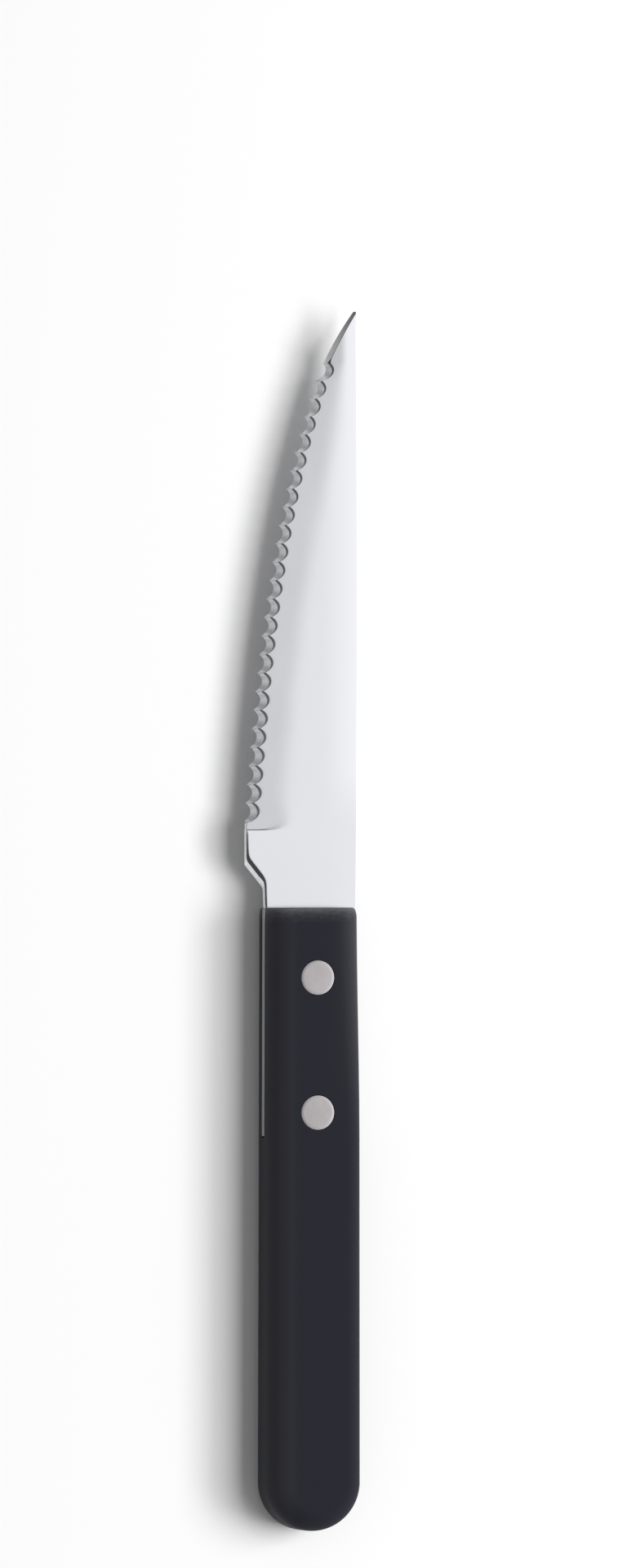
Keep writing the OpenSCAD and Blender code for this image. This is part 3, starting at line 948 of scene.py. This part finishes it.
def black_plastic(colour, buffed):
    """Moulded plastic: a slight orange peel, soft clouds of gloss, a buffed front with scuffs, and a painted
    highlight on the spine side's front and painted light on the belly side.
    """
    graph = material_graph("handle_black_plastic")
    peel = graph.noise((1400, 1400, 1400), detail=2.0)
    grain = graph.noise((9000, 9000, 9000), detail=2.0)
    clouds = graph.noise((70, 30, 70))
    scuffs = graph.noise((900, 1900, 900), detail=5.0, roughness=0.7)
    axes = graph.axes("Object")

    # Share of the lighter colour along an axis: wear at the front, painted highlight and painted light on
    # the sides
    def wear(axis, low, high, most):
        middle = getattr(FRONT_MIDDLE, axis)
        return graph.spread(axes[axis.upper()], 0.0, most, low=middle + low * MM, high=middle + high * MM)

    front = wear("y", *FRONT_WEAR)
    # Painted highlight on the spine side near the front, fading along the grip, and painted light on the
    # belly side
    back = wear("x", *SPINE_PAINTED_HIGHLIGHT)
    grip = wear("y", *HIGHLIGHT_FADE_ALONG_GRIP)
    belly = wear("x", *BELLY_PAINTED_LIGHT)
    scuffed = graph.spread(scuffs, 0.12, 0.95, low=0.38, high=0.66)
    band = graph.math('MULTIPLY', graph.math('POWER', front, 0.6), scuffed)
    # Painted highlight along the spine side's front
    side = graph.math('MULTIPLY', graph.math('POWER', back, 4.0), grip)
    rim = graph.math('ADD', graph.math('MULTIPLY', band, 0.36), graph.math('POWER', front, 4.0))
    # Worn front together with the painted highlight and the painted light of the sides
    worn = graph.math('ADD', rim, graph.math('ADD', side, belly))
    rough = graph.math('ADD', graph.spread(clouds, 0.5, 0.56), graph.math('MULTIPLY', band, 0.15))
    relief = graph.math('ADD', graph.math('MULTIPLY', peel, 0.7), graph.math('MULTIPLY', grain, 0.3))
    return graph.finish(graph.blend(worn, colour, buffed), rough, graph.bump(relief, 0.12, 0.01 * MM),
                        **{"Specular IOR Level": 0.06})


def brushed_rivet(colour):
    """Brushed rivet: fine lines along the knife and faint stains."""
    graph = material_graph("rivet_brushed_steel")
    lines = graph.noise((14000, 700, 14000))
    stains = graph.noise((520, 420, 520))
    stained = graph.spread(stains, 0.0, 0.55, low=0.35, high=0.65)
    tone = graph.math('ADD', graph.spread(lines, 0.0, 0.45), stained)
    return graph.finish(graph.blend(tone, shifted(colour, 0.93), shifted(colour, 1.07)),
                        graph.spread(lines, 0.26, 0.36), graph.bump(lines, 0.08, 0.004 * MM), Metallic=1.0)


class STEAKKNIFE_OT_blade(bpy.types.Operator):
    """Build the blade with its tang, heel, ground faces, scallops and tip bevel"""

    bl_idname = "steakknife.blade"
    bl_label = "Build Blade"

    def execute(self, context):
        scene = context.scene
        sizes = scene.blade_sizes
        form = BladeForm(sizes)
        rungs, finishes = form.all_rungs(HandleForm(scene.handle_sizes))
        count = len(rungs[0])

        def material_of(step, row):
            facet_rows = form.FACET_STEPS if finishes[step] == GROUND else len(MAIN_SHARES)
            return finishes[step] if row <= facet_rows else POLISHED

        faces = skin(rungs, range(count), material_of)
        for start in (0, (len(rungs) - 1) * count):
            faces.append(([start + row for row in range(count)], POLISHED))
        mesh = cut_away(mesh_from("blade", rungs, faces), self.rivet_holes(scene.rivet_sizes))
        colours = scene.finish_colours
        shade(
            mesh,
            polished_steel(colours.blade_steel),
            ground_steel("scallop_ground_steel", colours.ground_steel, lean=sizes.scallop_lean, rough=0.27),
            # The heel's wall takes the lighter steel colour, a painted reflection
            ground_steel("heel_cut_steel", colours.cut_steel_painted_bright, lean=math.radians(90), rough=0.5),
            # Tip bevel, with painted shade towards the point
            matt_bevel_with_painted_shade(colours.tip_steel, form.plain_start.y),
        )
        add_piece("knife_blade", mesh, "blade")
        return {'FINISHED'}

    @staticmethod
    def rivet_holes(rivets):
        """Cutters for the holes of the tang."""
        hole = rivets.socket_radius + rivets.clearance
        end = 2 * BLADE_HALF
        profile = [(0, -end), (hole, -end), (hole, end), (0, end)]
        return [turned_mesh("hole", profile, place, HOLE_SEGMENTS) for place in rivet_places().values()]


class STEAKKNIFE_OT_handle(bpy.types.Operator):
    """Build the black handle with its slot for the tang and its stepped rivet holes"""

    bl_idname = "steakknife.handle"
    bl_label = "Build Handle"

    def execute(self, context):
        scene = context.scene
        sizes = scene.handle_sizes
        sections = HandleForm(sizes).sections()
        count = len(sections[0])
        faces = skin(sections, range(count - 1))
        last = [(len(sections) - 1) * count + row for row in range(count)]
        faces.append((list(range(count)) + last[-2:0:-1], 0))
        slot_half = BLADE_HALF + sizes.slot_clearance
        low = (-sizes.butt_radius - CUT_OVER, TANG_Y - sizes.slot_gap, -slot_half)
        high = (sizes.butt_radius + CUT_OVER, CUT_OVER, slot_half)
        cutters = [box_mesh("slot", low, high)]
        for place in rivet_places().values():
            cutters.append(turned_mesh("seat", self.seat_profile(scene.rivet_sizes), place, RIVET_SEGMENTS))
        mesh = cut_away(mesh_from("handle", sections, faces), cutters)
        colours = scene.finish_colours
        # The lighter colour serves the worn front and the painted highlight and painted light of the sides
        shade(mesh, black_plastic(colours.handle_plastic, colours.buffed_and_lit_plastic))
        add_piece("knife_handle", mesh, "handle")
        return {'FINISHED'}

    @staticmethod
    def seat_profile(rivets):
        """Half profile of a stepped rivet hole through the whole handle."""
        bore = rivets.socket_radius + rivets.clearance
        seat = HEAD_RADIUS + rivets.clearance
        floor = HANDLE_HALF - rivets.head_thickness
        top = HANDLE_HALF + CUT_OVER
        return [(0, -top), (seat, -top), (seat, -floor), (bore, -floor),
                (bore, floor), (seat, floor), (seat, top), (0, top)]


class STEAKKNIFE_OT_rivets(bpy.types.Operator):
    """Build the posts and sockets of the two compression rivets"""

    bl_idname = "steakknife.rivets"
    bl_label = "Build Rivets"

    # Rows of a head: steps over its dome and angles round its rim
    DOME_STEPS = 6
    RIM_TURNS = (25, 50, 75, 90)

    def execute(self, context):
        scene = context.scene
        sizes = scene.rivet_sizes
        material = brushed_rivet(scene.finish_colours.rivet_steel)
        profiles = {"post": self.post_profile(sizes), "socket": self.socket_profile(sizes)}
        for end, place in rivet_places().items():
            for half, profile in profiles.items():
                mesh = turned_mesh(f"{end}_rivet_{half}", profile, place, RIVET_SEGMENTS)
                shade(mesh, material)
                add_piece(f"{end}_rivet_{half}_turned", mesh, f"{end}_rivet_{half}")
        return {'FINISHED'}

    def head_face(self, sizes, side):
        """Slightly domed head face from its middle over its broken rim, on the upper or lower side."""
        rim = sizes.rim_width
        inner = HEAD_RADIUS - rim
        shares = [step / self.DOME_STEPS for step in range(self.DOME_STEPS + 1)]
        losses = [(inner * share, sizes.dome * share ** 2) for share in shares]
        for turn in map(math.radians, self.RIM_TURNS):
            losses.append((inner + rim * math.sin(turn), sizes.dome + rim * (1 - math.cos(turn))))
        return [(radius, side * (HANDLE_HALF - loss)) for radius, loss in losses]

    def post_profile(self, sizes):
        """Profile of the solid post under its head on the upper side."""
        under = HANDLE_HALF - sizes.head_thickness
        end = -under + sizes.end_gap
        radius = sizes.post_radius
        return [*self.head_face(sizes, 1), (HEAD_RADIUS, under), (radius, under),
                (radius, end + sizes.post_taper), (radius - sizes.post_taper, end), (0, end)]

    def socket_profile(self, sizes):
        """Profile of the tubular socket over its head on the lower side."""
        under = HANDLE_HALF - sizes.head_thickness
        end = under - sizes.end_gap
        bore = sizes.post_radius + sizes.press_clearance
        radius = sizes.socket_radius
        return [*self.head_face(sizes, -1), (HEAD_RADIUS, -under), (radius, -under),
                (radius, end - sizes.socket_taper), (radius - sizes.socket_taper, end),
                (bore, end), (bore, -under), (0, -under)]


class STEAKKNIFE_OT_stage(bpy.types.Operator):
    """Set up the white floor, the soft light and the camera"""

    bl_idname = "steakknife.stage"
    bl_label = "Set Up Stage"

    # Tones of the sheet overhead from left to right, and how far they move right towards both ends
    SHEET_TONES = ((-1, 0.03), (-0.13, 0.04), (-0.06, 0.34), (0.1, 0.4), (0.235, 0.43),
                   (0.309, 0.74), (0.36, 0.85), (0.5, 1.0))
    SHEET_SKEW = 0.45
    # Tones of the ring round the horizon from the butt to the tip, the heights between which it
    # grows lighter, those between which it ends, and how far these drop towards both ends
    RING_TONES = ((-1, 1.0), (-0.92, 1.0), (-0.8, 0.52), (-0.3, 0.47), (0.1, 0.46), (0.5, 0.38), (1, 0.3))
    RING_LEVELS = {"low": 0.3, "high": 0.68, "to_low": 0.62, "to_high": 1.27}
    RING_TOP = {"low": 0.72, "high": 0.8}
    RING_DIP = 0.22
    # The camera: width of its sensor in millimetres, and nearest and farthest distance in metres
    SENSOR_WIDTH = 36
    CLIP_RANGE = (0.01, 100)

    def execute(self, context):
        scene = context.scene
        stage = scene.stage_sizes
        self.add_floor(scene, stage)
        self.add_world(scene, stage)
        for name in ("low_lamp", "high_lamp"):
            self.add_lamp(stage, name)
        self.add_camera(scene, stage)
        scene.view_settings.view_transform = 'Standard'
        return {'FINISHED'}

    @staticmethod
    def add_floor(scene, stage):
        """Matt white floor that takes the shadow."""
        half = stage.floor_size / 2
        corners = [(x * half, y * half, HANDLE_LOW.z) for x, y in ((-1, -1), (1, -1), (1, 1), (-1, 1))]
        mesh = mesh_from("floor", [corners], [((0, 1, 2, 3), 0)])
        graph = material_graph("white_floor")
        graph.fill(graph.nodes["Principled BSDF"], {
            "Base Color": (*scene.finish_colours.floor, 1),
            "Roughness": 1.0,
            "Specular IOR Level": 0.0,
        })
        mesh.materials.append(graph.owner)
        floor = new_object("floor", mesh)

    def add_world(self, scene, stage):
        """World: white behind the knife, an even fill for matt faces, and a tent for reflections.

        The tent is a sheet overhead that ends left of the knife, and a bright ring at the horizon."""
        world = bpy.data.worlds.new("soft_tent")
        scene.world = world
        graph = Graph(world)
        x, y, z = graph.axes("Generated")
        sideways = graph.math('ABSOLUTE', y, 0.0)
        lateral = graph.math('SUBTRACT', x, graph.math('MULTIPLY', sideways, self.SHEET_SKEW))
        sheet = graph.ramp(lateral, self.SHEET_TONES)
        level = graph.spread(z, **self.RING_LEVELS)
        ring_tones = graph.ramp(y, self.RING_TONES)
        ring = graph.add("VectorMath", "Vector", {0: ring_tones, "Scale": level}, operation='SCALE')
        height = graph.math('ADD', z, graph.math('MULTIPLY', sideways, self.RING_DIP))
        height = graph.math('ADD', height, graph.math('MAXIMUM', x, 0.0))
        above = graph.spread(height, 0, 1, **self.RING_TOP, interpolation_type='SMOOTHSTEP')
        tone = graph.add("Mix", "Result", {"Factor": above, "A": ring, "B": sheet}, data_type='RGBA')

        def light(colour, strength):
            return graph.add("Background", "Background", {"Color": colour, "Strength": strength})

        def either(share, first, second):
            return graph.add("MixShader", "Shader", {"Fac": share, 1: first, 2: second})

        white = (1, 1, 1, 1)
        rays = graph.add("LightPath", "Is Camera Ray").node.outputs
        lit = either(rays["Is Glossy Ray"], light(white, stage.fill), light(tone, stage.tent))
        straight = graph.math('MAXIMUM', rays["Is Camera Ray"], rays["Is Transmission Ray"])
        graph.fill(graph.nodes["World Output"], {"Surface": either(straight, lit, light(white, 1.0))})

    @staticmethod
    def add_lamp(stage, name):
        """Large soft lamp above the right side, which throws the shadow to the left."""
        lamp = bpy.data.lights.new(name, 'AREA')
        lamp.shape = 'RECTANGLE'
        lamp.size = getattr(stage, name + "_width")
        lamp.size_y = stage.lamp_length
        lamp.energy = getattr(stage, name + "_power")
        elevation = getattr(stage, name + "_elevation")
        way = Vector((math.cos(elevation), 0, math.sin(elevation)))
        holder = new_object(name, lamp)
        holder.location = way * stage.lamp_distance
        holder.rotation_euler = way.to_track_quat('Z', 'X').to_euler()
        holder.visible_glossy = False

    def add_camera(self, scene, stage):
        """Camera over the knife, rolled towards its cutting edge, with the tip up."""
        camera = bpy.data.cameras.new("camera")
        camera.type = 'PERSP'
        camera.sensor_width = self.SENSOR_WIDTH
        camera.lens = stage.lens
        camera.clip_start, camera.clip_end = self.CLIP_RANGE
        distance = stage.view_height * stage.lens / camera.sensor_width
        back = Vector((-math.sin(stage.roll), 0, math.cos(stage.roll)))
        right = Vector((math.cos(stage.roll), 0, math.sin(stage.roll)))
        up = Vector((0, 1, 0))
        middle = FRONT_MIDDLE + Vector((stage.view_x, stage.view_y, 0))
        turn = Matrix((right, up, back)).transposed().to_4x4()
        holder = new_object("camera", camera)
        holder.matrix_world = Matrix.Translation(middle + back * distance) @ turn
        scene.camera = holder


class STEAKKNIFE_PT_panel(bpy.types.Panel):
    """Sidebar panel with the sizes, the colours and a button for each piece"""

    bl_idname = "STEAKKNIFE_PT_panel"
    bl_label = "Steak Knife"
    bl_space_type = 'VIEW_3D'
    bl_region_type = 'UI'
    bl_category = "Steak Knife"

    def draw(self, context):
        layout = self.layout
        for group_name, group_class in GROUPS.items():
            box = layout.box()
            for name in group_class.__annotations__:
                box.prop(getattr(context.scene, group_name), name)
        for operator in OPERATORS:
            layout.operator(operator.bl_idname)


GROUPS = {
    "blade_sizes": BladeSizes,
    "handle_sizes": HandleSizes,
    "rivet_sizes": RivetSizes,
    "finish_colours": FinishColours,
    "stage_sizes": StageSizes,
}
OPERATORS = (STEAKKNIFE_OT_stage, STEAKKNIFE_OT_blade, STEAKKNIFE_OT_handle, STEAKKNIFE_OT_rivets)


def register():
    for name, group in GROUPS.items():
        bpy.utils.register_class(group)
        setattr(bpy.types.Scene, name, PointerProperty(type=group))
    for operator in OPERATORS:
        bpy.utils.register_class(operator)
    bpy.utils.register_class(STEAKKNIFE_PT_panel)


def unregister():
    bpy.utils.unregister_class(STEAKKNIFE_PT_panel)
    for operator in reversed(OPERATORS):
        bpy.utils.unregister_class(operator)
    for name, group in reversed(GROUPS.items()):
        delattr(bpy.types.Scene, name)
        bpy.utils.unregister_class(group)


def main():
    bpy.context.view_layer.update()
    register()
    bpy.ops.steakknife.stage()
    bpy.ops.steakknife.blade()
    bpy.ops.steakknife.handle()
    bpy.ops.steakknife.rivets()


if __name__ == "__main__":
    main()
